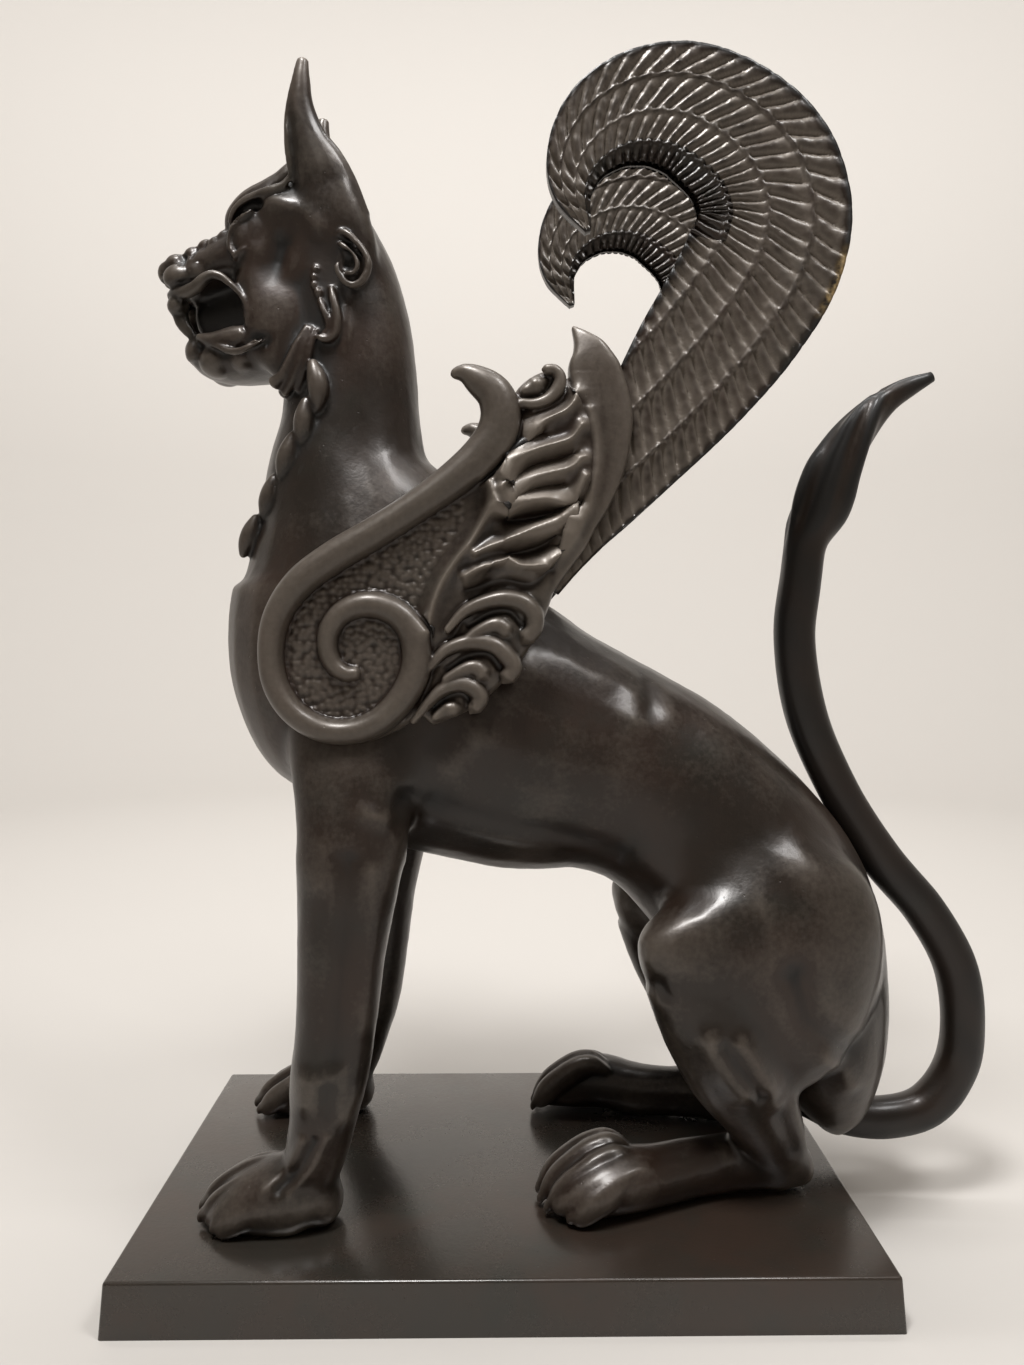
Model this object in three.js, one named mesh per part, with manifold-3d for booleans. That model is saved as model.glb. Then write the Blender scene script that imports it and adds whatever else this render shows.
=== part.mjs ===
// Seated horned griffin on a rectangular plinth, cast bronze.
// Millimetres, +Z up. The origin is the centre of the plinth's underside.
// The griffin faces -X, its near side is -Y and its far side is +Y.
import * as THREE from 'three';
import { mergeVertices } from 'three/addons/utils/BufferGeometryUtils.js';
import Module from 'manifold-3d';

const wasm = await Module();
wasm.setup();

// Plinth
const plinthLength = 500;
const plinthWidth = 310;
const plinthHeight = 35;
const plinthFlare = 2.5; // the foot stands this far outside the top edge
const plinthArrisWidth = 2; // worn edge around the top
const seatGap = 0.3; // between the plinth and the paws
const weldDistance = 0.001;

// Griffin. Its tables below are in 808ths of its height, in order along X, Y and Z
const griffinHeight = 808; // from the plinth's top to the tips of the horns
const tailThickness = 31;
const wingThickness = 15;
const wingSpread = 152; // between the mid planes of the two wings
const featherRelief = 3.2;
const featherPitch = 44;
const featherSlant = 24;
const scrollRelief = 13; // half thickness of the scroll band's ridge
const scrollProud = 15; // from the wing's mid plane to the middle of the band
const scrollTurns = 1.62;
const leafRelief = 9;
const leafProud = 10;
const crescentProud = 5; // how far the crescent stands over the feathers
const pawSpread = 174; // between the middles of the two front paws
const toeRelief = 7.5;
const frontToePitch = 14.5;
const hindToePitch = 13;
const farFootShift = 12; // the far hind foot stands this much further out
const farLegShift = 6; // the far foreleg stands this much further back

const share = griffinHeight / 808;
const sides = [-1, 1];

// A body swept along a spine. A station is [x, y, z, half depth, half width], where the
// width runs across the figure and the depth lies in the plane of its length and height.
function loft(stations, around, along, squareness = 2) {
  const spine = new THREE.CatmullRomCurve3(stations.map(([x, y, z]) => new THREE.Vector3(x, y, z)));
  const girth = new THREE.CatmullRomCurve3(stations.map(([, , , d, w]) => new THREE.Vector3(d, w, 0)));
  const across = new THREE.Vector3(0, 1, 0);
  const geometry = new THREE.SphereGeometry(1, around, along);
  const position = geometry.attributes.position;
  for (let i = 0; i < position.count; i++) {
    const row = Math.floor(i / (around + 1));
    const t = THREE.MathUtils.clamp((row - 1) / (along - 2), 0, 1);
    const angle = (2 * Math.PI * (i % (around + 1))) / around;
    const size = row === 0 || row === along ? new THREE.Vector3() : girth.getPoint(t);
    const tangent = spine.getTangent(t);
    const normal = across.clone().cross(tangent).normalize();
    const side = tangent.clone().cross(normal);
    const place = spine.getPoint(t);
    place.addScaledVector(normal, -Math.max(size.x, 0) * rounded(Math.cos(angle), squareness));
    place.addScaledVector(side, Math.max(size.y, 0) * rounded(Math.sin(angle), squareness));
    position.setXYZ(i, place.x, place.y, place.z);
  }
  return geometry;
}

// Cosine or sine of a section that gets squarer as the number grows
function rounded(value, squareness) {
  return Math.sign(value) * Math.abs(value) ** (2 / squareness);
}

// Stations given in shares of the height, on the near side, placed on either side
function onSide(side, stations) {
  return stations.map(([x, y, z, d, w]) => [x, side * y, z, d, w].map((value) => value * share));
}

function solid(geometry) {
  const bare = geometry.clone();
  bare.deleteAttribute('normal');
  bare.deleteAttribute('uv');
  const merged = mergeVertices(bare, weldDistance);
  const vertProperties = new Float32Array(merged.attributes.position.array);
  const triVerts = new Uint32Array(merged.index.array);
  return new wasm.Manifold(new wasm.Mesh({ numProp: 3, vertProperties, triVerts }));
}

function geometryOf(manifold) {
  const mesh = manifold.getMesh();
  const geometry = new THREE.BufferGeometry();
  geometry.setAttribute('position', new THREE.BufferAttribute(new Float32Array(mesh.vertProperties), 3));
  geometry.setIndex(new THREE.BufferAttribute(new Uint32Array(mesh.triVerts), 1));
  geometry.computeVertexNormals();
  return geometry;
}

function fused(geometries) {
  return geometries.map(solid).reduce((whole, next) => whole.add(next));
}

// Trunk, from between the shoulders to the rump
function trunk() {
  const stations = [
    [-128, 0, 352, 62, 58],
    [-95, 0, 352, 98, 80],
    [-42, 0, 343, 107, 82],
    [22, 0, 320, 98, 78],
    [80, 0, 303, 82, 74],
    [125, 0, 281, 78, 72],
    [168, 0, 241, 80, 76],
    [208, 0, 188, 79, 78],
    [235, 0, 128, 60, 70],
    [248, 0, 72, 42, 58],
    [254, 0, 40, 25, 38],
    [256, 0, 20, 8, 14],
  ];
  return loft(onSide(1, stations), 12, 11);
}

// Neck, from the deep chest up to the back of the skull
function neck() {
  const stations = [
    [-112, 0, 290, 44, 46],
    [-113, 0, 318, 73, 70],
    [-110, 0, 358, 94, 82],
    [-105, 0, 400, 102, 84],
    [-100, 0, 442, 100, 80],
    [-107, 0, 484, 83, 68],
    [-115, 0, 524, 63, 55],
    [-114, 0, 562, 52, 47],
    [-115, 0, 602, 50, 44],
    [-120, 0, 642, 48, 43],
    [-130, 0, 682, 43, 42],
    [-136, 0, 716, 30, 36],
    [-139, 0, 738, 14, 22],
  ];
  return loft(onSide(1, stations), 11, 12);
}

function head() {
  const skull = [
    [-118, 0, 668, 34, 34],
    [-142, 0, 676, 54, 44],
    [-172, 0, 684, 50, 45],
    [-196, 0, 690, 32, 37],
    [-206, 0, 692, 17, 24],
  ];
  const muzzle = [
    [-186, 0, 674, 25, 30],
    [-212, 0, 668, 22, 27],
    [-235, 0, 660, 21, 25],
    [-247, 0, 658, 18, 22],
    [-254, 0, 660, 10, 13],
  ];
  const jaw = [
    [-152, 0, 622, 24, 34],
    [-182, 0, 617, 18, 27],
    [-210, 0, 614, 15, 21],
    [-228, 0, 615, 13, 18],
    [-235, 0, 618, 8, 11],
  ];
  const tongue = [
    [-172, 0, 642, 20, 12],
    [-205, 0, 640, 19, 10],
    [-228, 0, 634, 14, 9],
  ];
  const fangs = [
    [-229, 0, 648, 10, 17],
    [-237, 0, 632, 7, 15],
    [-230, 0, 618, 8, 15],
  ];
  const cheek = [
    [-146, 30, 600, 12, 10],
    [-160, 33, 616, 22, 13],
    [-172, 34, 640, 20, 12],
    [-176, 32, 664, 10, 8],
  ];
  const brow = [
    [-158, 35, 708, 9, 8],
    [-180, 33, 706, 9, 9],
    [-194, 25, 702, 10, 10],
    [-201, 13, 700, 10, 9],
  ];
  const nostril = [
    [-234, 14, 670, 7, 8],
    [-246, 13, 667, 8, 8],
    [-254, 9, 663, 5, 6],
  ];
  const pieces = [loft(onSide(1, skull), 10, 6, 2.3), loft(onSide(1, muzzle), 8, 6, 2.4)];
  pieces.push(loft(onSide(1, jaw), 8, 6), loft(onSide(1, tongue), 5, 4), loft(onSide(1, fangs), 5, 4));
  for (const side of sides) {
    pieces.push(loft(onSide(side, cheek), 5, 5));
    pieces.push(loft(onSide(side, brow), 4, 5));
    pieces.push(loft(onSide(side, nostril), 4, 4));
  }
  return pieces;
}

// Upright horn, ear curl with the lock below it, and the strand that ends in the beard
function hornAndLocks(side) {
  const horn = [
    [-126, 33, 704, 22, 12],
    [-129, 36, 722, 20, 12],
    [-136.5, 39, 748, 14, 10],
    [-142, 41, 774, 10, 8],
    [-142.5, 42, 790, 7.5, 6],
    [-141.5, 42, 808, 3.5, 3],
  ];
  const ear = [
    [-121, 43, 678, 5, 6],
    [-108, 45, 682, 6, 7],
    [-97, 45, 668, 6.5, 8],
    [-100, 45, 650, 6.5, 8],
    [-112, 45, 647, 6, 7],
    [-119, 44, 657, 5, 6],
  ];
  const lock = [
    [-121, 42, 646, 5, 6],
    [-121, 45, 630, 7, 8],
    [-121, 45, 616, 7, 8],
    [-131, 44, 609, 6, 6],
  ];
  const beard = [
    [-133, 38, 624, 6, 6],
    [-145, 34, 608, 8, 9],
    [-157, 28, 592, 9, 11],
    [-163, 22, 582, 6, 8],
  ];
  return [
    loft(onSide(side, horn), 5, 7),
    loft(onSide(side, ear), 4, 7),
    loft(onSide(side, lock), 4, 5),
    loft(onSide(side, beard), 4, 5),
  ];
}

// Chain of five leaf drops down the throat
function throatDrops(side) {
  const drops = 5;
  const chain = new THREE.CatmullRomCurve3([
    new THREE.Vector3(-132, side * 38, 583),
    new THREE.Vector3(-143, side * 37, 550),
    new THREE.Vector3(-161, side * 34, 513),
    new THREE.Vector3(-186, side * 22, 460),
  ]);
  const pieces = [];
  for (let i = 0; i < drops; i++) {
    const top = chain.getPoint(i / drops);
    const foot = chain.getPoint((i + 0.94) / drops);
    const waist = top.clone().lerp(foot, 0.55);
    const stations = [
      [top.x, top.y, top.z, 2.5, 5],
      [waist.x, waist.y, waist.z, 8, 9],
      [foot.x, foot.y, foot.z, 2, 4],
    ];
    pieces.push(loft(onSide(1, stations), 4, 4));
  }
  return pieces;
}

function foreleg(side) {
  const middle = pawSpread / 2 / share;
  const back = side > 0 ? farLegShift / share : 0;
  const limb = [
    [-112, middle - 17, 360, 34, 26],
    [-107, middle - 13, 318, 44, 31],
    [-104 + back, middle - 9, 278, 41, 31],
    [-106 + back, middle - 5, 238, 36, 28],
    [-110 + back, middle - 3, 197, 31.5, 26],
    [-115 + back, middle - 1, 134, 27.5, 24.5],
    [-120 + back, middle, 97, 26, 25],
    [-124, middle, 70, 23, 24],
    [-129, middle, 46, 21, 23],
    [-134, middle, 22, 16, 21],
  ];
  const paw = [
    [-118, middle, 8, 10, 16],
    [-130, middle, 15, 19, 23],
    [-150, middle, 19, 27, 27],
    [-174, middle, 17, 27, 28],
    [-190, middle, 11, 19, 25],
    [-201, middle, 6, 10, 20],
  ];
  const front = toes(side, middle, [-165, -205], frontToePitch / share, 24);
  return [loft(onSide(side, limb), 8, 8), loft(onSide(side, paw), 8, 6), ...front];
}

// Four toes side by side, each with a claw at its tip
function toes(side, middle, [back, front], pitch, height, turn = 0) {
  const count = 4;
  const pieces = [];
  for (let i = 0; i < count; i++) {
    const offset = (i - (count - 1) / 2) * pitch;
    const reach = (1 - Math.abs(offset) / (pitch * 8)) * (front - back);
    const at = (part) => middle + offset * (0.94 - 0.12 * part) + turn * part;
    const relief = toeRelief / share;
    const stations = [
      [back, at(0), height, relief, relief],
      [back + 0.4 * reach, at(0.4), height - 1, relief + 2, relief],
      [back + 0.8 * reach, at(0.8), height * 0.5, relief + 2, relief - 1],
      [back + 1.08 * reach, at(1.08), 4, 3, 2.5],
    ];
    pieces.push(loft(onSide(side, stations), 4, 4));
  }
  return pieces;
}

function hindleg(side) {
  const out = side > 0 ? farFootShift / share : 0;
  const thigh = [
    [258, 46, 148, 40, 18],
    [234, 60, 156, 82, 32],
    [198, 66, 168, 88, 36],
    [160, 71 + out * 0.3, 176, 69, 35],
    [127, 76 + out * 0.5, 184, 45, 31],
    [106, 80 + out * 0.6, 190, 28, 24],
    [96, 82 + out * 0.6, 192, 16, 16],
    [91, 82 + out * 0.6, 192, 5, 5],
  ];
  const shank = [
    [128, 78 + out * 0.6, 172, 34, 26],
    [145, 78 + out * 0.6, 137, 38, 29],
    [163, 75 + out * 0.7, 100, 36, 27],
    [182, 66 + out * 0.8, 66, 29, 22],
    [194, 56 + out, 40, 24, 19],
    [203, 48 + out, 18, 19, 17],
  ];
  const foot = [
    [222, 45 + out, 8, 9, 12],
    [210, 46 + out, 16, 19, 16],
    [180, 49 + out, 20, 23, 17],
    [138, 57 + out, 21, 23, 19],
    [105, 67 + out, 22, 24, 22],
    [76, 76 + out, 23, 28, 25],
    [52, 79 + out, 20, 26, 25],
    [36, 80 + out, 12, 15, 22],
  ];
  return [
    loft(onSide(side, thigh), 10, 9),
    loft(onSide(side, shank), 7, 6),
    loft(onSide(side, foot), 7, 7),
    ...toes(side, 76 + out, [78, 30], hindToePitch / share, 34, 4),
  ];
}

// Tail, which leaves the rump low down, loops back and rises to a flame-shaped tuft
function tail() {
  const half = tailThickness / 2 / share;
  const stations = [
    [236, 0, 46, half, half],
    [262, 0, 33, half, half],
    [295, 0, 29, half, half],
    [327, 0, 37, half, half],
    [350, 0, 66, half + 1, half + 1],
    [357, 0, 104, half + 1.5, half + 1],
    [349, 0, 148, half + 0.5, half],
    [324, 0, 192, half, half],
    [290, 0, 232, half, half],
    [257, 0, 284, half - 1, half],
    [232, 0, 340, half, half],
    [222, 0, 400, half, half],
    [227, 0, 452, half, half],
    [231, 0, 478, half + 1.5, half],
    [241, 0, 508, half + 5.5, half + 3],
    [260, 0, 543, half + 2, half + 1],
    [281, 0, 572, half - 4, half - 4],
    [304, 0, 589, half - 8, half - 8],
    [325, 0, 598, 3.5, 3.5],
  ];
  return loft(onSide(1, stations), 6, 22);
}

// Middle line and half breadth of the feathered wing, from its hooked tip down to its root
const wingLine = [
  [57, 674, 2],
  [47, 700, 14],
  [50, 721, 22],
  [66, 742, 31],
  [91, 754, 38],
  [121, 754, 44],
  [150, 740, 48],
  [172, 718, 51],
  [182, 689, 52],
  [176, 657, 53],
  [156, 620, 51],
  [131, 584, 47],
  [107, 550, 40],
  [85, 518, 31],
  [63, 487, 22],
  [44, 456, 13],
  [33, 432, 5],
];

// The feathers stand in four bands that follow the curl, on both faces of the plate
function featheredWing(side) {
  const bands = 4;
  const spine = new THREE.CatmullRomCurve3(
    wingLine.map(([x, z]) => new THREE.Vector3(x * share, (side * wingSpread) / 2, z * share)),
  );
  const halves = wingLine.map(([, , half]) => new THREE.Vector3(half * share, 0, 0));
  const breadth = new THREE.CatmullRomCurve3(halves);
  const rows = 2 * Math.round(spine.getLength() / featherPitch);
  const widest = Math.max(...halves.map((half) => half.x));
  const geometry = new THREE.BoxGeometry(1, 1, 1, 2 * bands, rows, 1);
  const position = geometry.attributes.position;
  for (let i = 0; i < position.count; i++) {
    const u = position.getX(i) + 0.5;
    const v = 0.5 - position.getY(i);
    const face = -Math.sign(position.getZ(i));
    const column = Math.round(u * 2 * bands);
    const row = Math.round(v * rows);
    const end = row === 0 || row === rows;
    const slant = (featherSlant * breadth.getPoint(v).x) / widest;
    const t = end ? v : THREE.MathUtils.clamp(v + (slant * (2 * u - 1)) / spine.getLength(), 0, 1);
    const tangent = spine.getTangent(t);
    const normal = new THREE.Vector3(-tangent.z, 0, tangent.x);
    const raised = column % 2 === 0 || end ? 0.6 : row % 2 === 0 ? 1 : -1;
    const place = spine.getPoint(t);
    place.addScaledVector(normal, (2 * u - 1) * breadth.getPoint(t).x);
    place.y += face * (wingThickness / 2 - featherRelief + featherRelief * raised);
    position.setXYZ(i, place.x, place.y, place.z);
  }
  return geometry;
}

// Smooth crescent that covers the root of the feathers and ends in a spike
function crescent(side) {
  const plane = wingSpread / 2 / share;
  const thick = (wingThickness / 2 + crescentProud) / share;
  const stations = [
    [47, plane + 2, 614, 1.5, 4],
    [57, plane + 2, 600, 11, thick - 3],
    [62, plane + 2, 582, 20, thick],
    [66, plane + 2, 562, 19, thick],
    [66, plane + 2, 540, 18, thick],
    [64, plane + 2, 515, 17, thick],
    [59, plane + 2, 490, 14, thick],
    [51, plane + 2, 466, 11, thick],
    [42, plane + 1, 446, 8, thick],
    [32, plane, 424, 5, thick - 2],
  ];
  return loft(onSide(side, stations), 6, 7, 3.2);
}

// Shoulder that carries the wing: the stippled ground of the scroll and the leaf's bed
function shoulder(side) {
  const plane = wingSpread / 2 / share;
  const ground = [
    [-118, plane - 8, 336, 20, 14],
    [-111, plane - 7, 362, 52, 20],
    [-94, plane - 5, 402, 66, 22],
    [-62, plane - 5, 438, 60, 21],
    [-32, plane - 5, 470, 50, 20],
    [-2, plane - 4, 504, 42, 18],
    [20, plane - 4, 538, 37, 16],
    [32, plane - 3, 566, 24, 12],
    [37, plane - 3, 580, 8, 8],
  ];
  const lobeBed = [
    [-46, plane - 2, 350, 12, 12],
    [-22, plane - 2, 378, 26, 14],
    [6, plane - 2, 414, 30, 14],
    [24, plane - 2, 446, 20, 14],
    [34, plane - 2, 466, 8, 10],
  ];
  return [loft(onSide(side, ground), 8, 8, 2.6), loft(onSide(side, lobeBed), 6, 5, 2.4)];
}

// Scroll band: a thick hooked rail that narrows into a spiral with a bulb at its end
function scrollBand(side) {
  const plane = (wingSpread / 2 + scrollProud) / share;
  const relief = scrollRelief / share;
  const rail = [
    [-34, plane, 575, 3, 4],
    [-20, plane, 572, 9, 9],
    [-8, plane, 562, 13, 12],
    [-5, plane, 545, 13.5, relief],
    [-13, plane, 527, 13, relief],
    [-34, plane, 504, 12.5, relief],
    [-64, plane, 482, 12, relief],
    [-98, plane, 460, 11.5, relief],
    [-130, plane, 434, 11, relief],
  ];
  const eye = [-102, 386];
  const reach = 56;
  const startAngle = 128;
  const steps = 15;
  const spiral = [];
  for (let i = 1; i <= steps; i++) {
    const part = i / steps;
    const angle = THREE.MathUtils.degToRad(startAngle + 360 * scrollTurns * part);
    const radius = reach * (1 - part) ** 0.72 + 6;
    const swell = part > 0.9 ? 2 : 0;
    const half = 10 - 4 * part + swell;
    spiral.push([
      eye[0] + radius * Math.cos(angle) - 3 * (1 - part),
      plane - 2 * part,
      eye[1] + radius * Math.sin(angle),
      half,
      relief - 4 * part,
    ]);
  }
  return loft(onSide(side, [...rail, ...spiral]), 4, 25);
}

// Acanthus leaf between the scroll and the crescent: a stem, five tongues, three curled lobes
function leaf(side) {
  const plane = (wingSpread / 2 + leafProud) / share;
  const relief = leafRelief / share;
  const stem = [
    [-54, plane, 392, 6, relief],
    [-42, plane, 430, 6, relief],
    [-26, plane, 466, 6, relief],
    [-10, plane, 516, 3, relief - 2],
  ];
  const pieces = [loft(onSide(side, stem), 4, 4)];
  const tongues = [
    [-6, 516, 46, 546, 6],
    [-10, 502, 46, 522, 5],
    [-14, 484, 45, 498, 2],
    [-22, 464, 42, 476, -2],
    [-28, 442, 36, 456, -4],
  ];
  for (const [x0, z0, x1, z1, sag] of tongues) {
    const stations = [
      [x0, plane, z0, 3, relief - 2],
      [THREE.MathUtils.lerp(x0, x1, 0.4), plane + 1, THREE.MathUtils.lerp(z0, z1, 0.4) + sag, 7, relief],
      [THREE.MathUtils.lerp(x0, x1, 0.75), plane, THREE.MathUtils.lerp(z0, z1, 0.75) - 4, 7, relief],
      [x1, plane - 1, z1, 4, relief - 2],
    ];
    pieces.push(loft(onSide(side, stations), 4, 4));
  }
  const curls = [
    [10, 566, 10],
    [4, 412, 19],
    [-10, 384, 17],
    [-32, 358, 14],
  ];
  for (const [x, z, radius] of curls) {
    const stations = [];
    for (let i = 0; i <= 4; i++) {
      const angle = THREE.MathUtils.degToRad(190 - 68 * i);
      const reach = radius * (1.15 - 0.2 * i);
      stations.push([x + reach * Math.cos(angle), plane - 3, z + reach * Math.sin(angle), 6, relief]);
    }
    pieces.push(loft(onSide(side, stations), 4, 6));
  }
  return pieces;
}

// Open mouth: a deep pocket on either side of the tongue
function mouthHollow(side) {
  const hollow = [
    [-180, 24, 644, 8, 16],
    [-192, 24, 645, 17, 20],
    [-208, 24, 645, 19, 20],
    [-222, 24, 642, 12, 20],
    [-229, 24, 640, 4, 18],
  ];
  return solid(loft(onSide(side, hollow), 8, 6));
}

function griffin() {
  const pieces = [trunk(), neck(), ...head(), tail()];
  for (const side of sides) {
    pieces.push(...hornAndLocks(side), ...throatDrops(side), ...foreleg(side), ...hindleg(side));
    pieces.push(...shoulder(side), featheredWing(side), crescent(side), scrollBand(side), ...leaf(side));
  }
  const below = new THREE.BoxGeometry(2 * griffinHeight, griffinHeight, tailThickness);
  below.translate(0, 0, -tailThickness / 2);
  let casting = fused(pieces).subtract(solid(below));
  for (const side of sides) casting = casting.subtract(mouthHollow(side));
  return geometryOf(casting);
}

// Plate with sides that lean out to the foot and a worn arris around its top
function plinth() {
  const outline = [
    [plinthFlare, 0],
    [0, plinthHeight - plinthArrisWidth],
    [-plinthArrisWidth, plinthHeight],
  ];
  const slab = new THREE.BoxGeometry(1, 1, 1, 1, 1, outline.length - 1);
  const position = slab.attributes.position;
  for (let i = 0; i < position.count; i++) {
    const [out, z] = outline[Math.round((position.getZ(i) + 0.5) * (outline.length - 1))];
    const x = Math.sign(position.getX(i)) * (plinthLength / 2 + out);
    const y = Math.sign(position.getY(i)) * (plinthWidth / 2 + out);
    position.setXYZ(i, x, y, z);
  }
  return geometryOf(solid(slab));
}

const bronze = new THREE.MeshStandardMaterial({ color: 0x3a322c, roughness: 0.38, metalness: 0.85 });
const plinthBronze = new THREE.MeshStandardMaterial({ color: 0x3f3a36, roughness: 0.42, metalness: 0.8 });

const statue = new THREE.Group();
const base = new THREE.Mesh(plinth(), plinthBronze);
base.name = 'plinth';
statue.add(base);
const figure = new THREE.Mesh(griffin(), bronze);
figure.name = 'griffin';
figure.position.z = plinthHeight + seatGap;
statue.add(figure);

export default statue;
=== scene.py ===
import math
import time

import bmesh
import bpy
import numpy as np
from mathutils import Matrix, Vector


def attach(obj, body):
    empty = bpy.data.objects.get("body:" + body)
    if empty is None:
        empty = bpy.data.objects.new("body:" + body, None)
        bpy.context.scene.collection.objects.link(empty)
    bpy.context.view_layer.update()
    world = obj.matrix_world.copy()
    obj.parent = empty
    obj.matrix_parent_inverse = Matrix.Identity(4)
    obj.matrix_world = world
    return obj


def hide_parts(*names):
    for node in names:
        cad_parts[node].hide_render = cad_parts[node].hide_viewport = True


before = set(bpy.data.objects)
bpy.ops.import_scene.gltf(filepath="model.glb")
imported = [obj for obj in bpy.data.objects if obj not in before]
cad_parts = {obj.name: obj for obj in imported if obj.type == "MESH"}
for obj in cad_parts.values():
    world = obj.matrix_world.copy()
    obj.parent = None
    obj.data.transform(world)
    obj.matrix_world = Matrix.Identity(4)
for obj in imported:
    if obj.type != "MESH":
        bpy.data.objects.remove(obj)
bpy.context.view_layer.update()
started = time.time()
sides = (-1, 1)

# Tables are in millimetres: x, y outwards from the middle, z above the plinth's top.
# The rest of a row is a half depth and a half width, or one radius.
casting = {
    "seat": 35.3,  # the plinth's top, and a hair over it
    "coarseVoxel": 3.2,
    "fineVoxel": 1.3,
    "shoulderVoxel": 1.1,
    "mostTriangles": 190000,  # in one piece
    "finePerRow": 16,  # steps of a smooth curve to each row of its table
}


def report(words):
    print(f"{words}: {time.time() - started:.1f} s")


# Even steps along a smooth curve through rows of numbers
def smoothRows(rows, samples):
    rows = np.array(rows, float)
    gaps = np.sqrt(np.linalg.norm(np.diff(rows[:, :3], axis=0), axis=1))
    knots = np.concatenate([[0], np.cumsum(gaps)])
    slopes = np.gradient(rows, knots, axis=0)
    fine = np.linspace(0, knots[-1], casting["finePerRow"] * len(rows))
    span = np.clip(np.searchsorted(knots, fine, side="right") - 1, 0, len(knots) - 2)
    width = (knots[span + 1] - knots[span])[:, None]
    u = (fine - knots[span])[:, None] / width
    curve = (2 * u**3 - 3 * u**2 + 1) * rows[span] + (3 * u**2 - 2 * u**3) * rows[span + 1]
    curve += width * ((u**3 - 2 * u**2 + u) * slopes[span] + (u**3 - u**2) * slopes[span + 1])
    steps = np.linalg.norm(np.diff(curve[:, :3], axis=0), axis=1)
    length = np.concatenate([[0], np.cumsum(steps)])
    even = np.linspace(0, length[-1], samples)
    return np.stack([np.interp(even, length, column) for column in curve.T], axis=1)


# Adds one closed form to the rest of its piece
def gather(bm, whole):
    bmesh.ops.recalc_face_normals(bm, faces=bm.faces)
    form = bpy.data.meshes.new("form")
    bm.to_mesh(form)
    bm.free()
    whole.from_mesh(form)
    bpy.data.meshes.remove(form)


def unit(vectors):
    return vectors / np.maximum(np.linalg.norm(vectors, axis=1, keepdims=True), 1e-9)


# A sphere drawn out along a spine, with flat ends unless they are domed.
# A square of 2 is an ellipse in section, and more is boxier
def loft(whole, rows, around=16, square=2.0, dome=0.0, step=4.0):
    rows = np.array([list(row) + [row[3]] if len(row) == 4 else row for row in rows], float)
    reach = np.linalg.norm(np.diff(rows[:, :3], axis=0), axis=1).sum()
    rings = int(np.clip(reach / step, 5, 160)) + 2
    bm = bmesh.new()
    bmesh.ops.create_uvsphere(bm, u_segments=around, v_segments=rings, radius=1)
    co = np.array([vert.co for vert in bm.verts])
    ring = np.rint(np.arccos(np.clip(co[:, 2], -1, 1)) / math.pi * rings).astype(int)
    angle = np.arctan2(co[:, 1], co[:, 0])
    spine = smoothRows(rows, rings - 1)
    tangent = unit(np.gradient(spine[:, :3], axis=0))
    axes = np.eye(3)
    slant = np.abs(tangent).max(axis=0)
    across = axes[1] if slant[1] < 0.9 else axes[int(np.argmin(slant))]
    normal = unit(np.cross(across, tangent))
    side = np.cross(tangent, normal)
    at = np.clip(ring - 1, 0, rings - 2)
    pole = (ring == 0) | (ring == rings)
    girth = np.where(pole[:, None], 0, np.maximum(spine[at, 3:5], 0.05))
    bent = [np.sign(wave) * np.abs(wave) ** (2 / square) for wave in (np.cos(angle), np.sin(angle))]
    place = spine[at, :3] - normal[at] * (girth[:, 0] * bent[0])[:, None]
    place += side[at] * (girth[:, 1] * bent[1])[:, None]
    outwards = np.where(ring == 0, -1, np.where(ring == rings, 1, 0)) * dome * spine[at, 3]
    place += tangent[at] * outwards[:, None]
    for vert, target in zip(bm.verts, place):
        vert.co = target
    gather(bm, whole)


# The same rows on one side of the middle, moved outwards
def onSide(side, rows, out=0.0):
    return [[row[0], side * (row[1] + out), *row[2:]] for row in rows]


def ball(whole, centre, radii):
    bm = bmesh.new()
    fit = Matrix.Translation(centre) @ Matrix.Diagonal((*radii, 1))
    bmesh.ops.create_uvsphere(bm, u_segments=20, v_segments=12, radius=1, matrix=fit)
    gather(bm, whole)


def newPiece(name, bm):
    mesh = bpy.data.meshes.new(name)
    bm.to_mesh(mesh)
    bm.free()
    piece = bpy.data.objects.new(name, mesh)
    bpy.context.scene.collection.objects.link(piece)
    return piece


# Applies a stack of modifiers to a piece's mesh
def settle(piece, stack):
    for kind, settings in stack:
        modifier = piece.modifiers.new(kind.title(), kind)
        for key, value in settings.items():
            setattr(modifier, key, value)
    graph = bpy.context.evaluated_depsgraph_get()
    mesh = bpy.data.meshes.new_from_object(piece.evaluated_get(graph))
    piece.modifiers.clear()
    piece.data = mesh
    return piece


def voxels(size):
    return ("REMESH", {"mode": "VOXEL", "voxel_size": size, "use_smooth_shade": True})


def softened(times, factor=0.5):
    return ("SMOOTH", {"factor": factor, "iterations": times})


def thinned(piece):
    triangles = sum(len(face.vertices) - 2 for face in piece.data.polygons)
    if triangles > casting["mostTriangles"]:
        settle(piece, [("DECIMATE", {"ratio": casting["mostTriangles"] / triangles})])
    return piece


def read(mesh, what="co"):
    values = np.empty(3 * len(mesh.vertices))
    source = mesh.vertices if what == "co" else mesh.vertex_normals
    source.foreach_get("co" if what == "co" else "vector", values)
    return values.reshape(-1, 3)


def write(mesh, places):
    mesh.vertices.foreach_set("co", np.ascontiguousarray(places, dtype=np.float32).ravel())
    mesh.update()


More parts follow.
